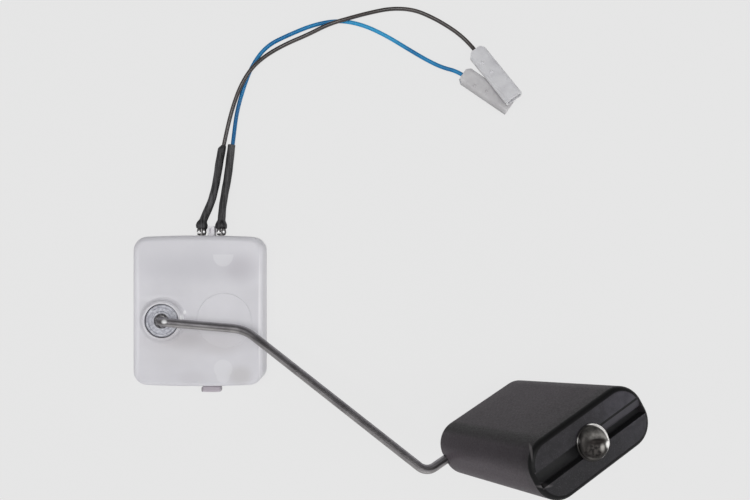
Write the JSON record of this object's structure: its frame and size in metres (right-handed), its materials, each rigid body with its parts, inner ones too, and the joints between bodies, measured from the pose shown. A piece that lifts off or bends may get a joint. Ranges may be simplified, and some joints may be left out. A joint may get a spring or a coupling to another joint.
{
  "type": "fuel level sensor",
  "caption": "Fuel level sensor with a translucent moulded housing, a bent wire arm on a pivot, a foamed rubber float and two leads.",
  "frame": {"origin": "on the arm's pivot axis, in the plane of the housing's flat back face, which is the mounting face", "axes": "+Z along the pivot axis out of the housing's front, +X towards the float's side, +Y towards the edge where the leads leave"},
  "size_m": [0.1456, 0.1458, 0.0795],
  "materials": {
    "natural_acetal": "translucent natural acetal, moulded",
    "rotor_acetal": "moulded acetal",
    "magnet": "sintered",
    "ceramic": "fired alumina with dark prints",
    "nickel_silver": "satin",
    "comb_foil": "etched foil",
    "tinned_brass": "tin plated",
    "shrink_black": "semi-matt shrink tube",
    "jacket_black": "semi-gloss jacket",
    "jacket_blue": "semi-gloss jacket",
    "sleeve_clear": "translucent soft plastic",
    "arm_steel": "drawn, satin",
    "foam_rubber": "foamed rubber with a moulded skin",
    "cap_steel": "pressed, mottled"
  },
  "bodies": {
    "housing": {"housing_cover": "natural_acetal", "back_plate": "natural_acetal", "resistor_board": "ceramic", "spacer_strip": "nickel_silver", "contact_comb": "comb_foil", "element_lid": "nickel_silver", "terminal_left": "tinned_brass", "terminal_right": "tinned_brass", "shrink_sleeve_left": "shrink_black", "shrink_sleeve_right": "shrink_black", "lead_black": "jacket_black", "lead_blue": "jacket_blue", "receptacle_black": "tinned_brass", "receptacle_blue": "tinned_brass", "insulating_sleeve_black": "sleeve_clear", "insulating_sleeve_blue": "sleeve_clear"},
    "arm": {"rotor": "rotor_acetal", "arm_ferrule": "arm_steel", "magnet": "magnet", "arm_wire": "arm_steel", "float": "foam_rubber", "retainer_cap": "cap_steel"}
  },
  "joints": [
    {"name": "arm_swing", "type": "hinge", "parent": "housing", "child": "arm", "pos_m": [0, 0, 0.008], "axis": [0, 0, 1], "range_deg": [-30, 50]}
  ]
}
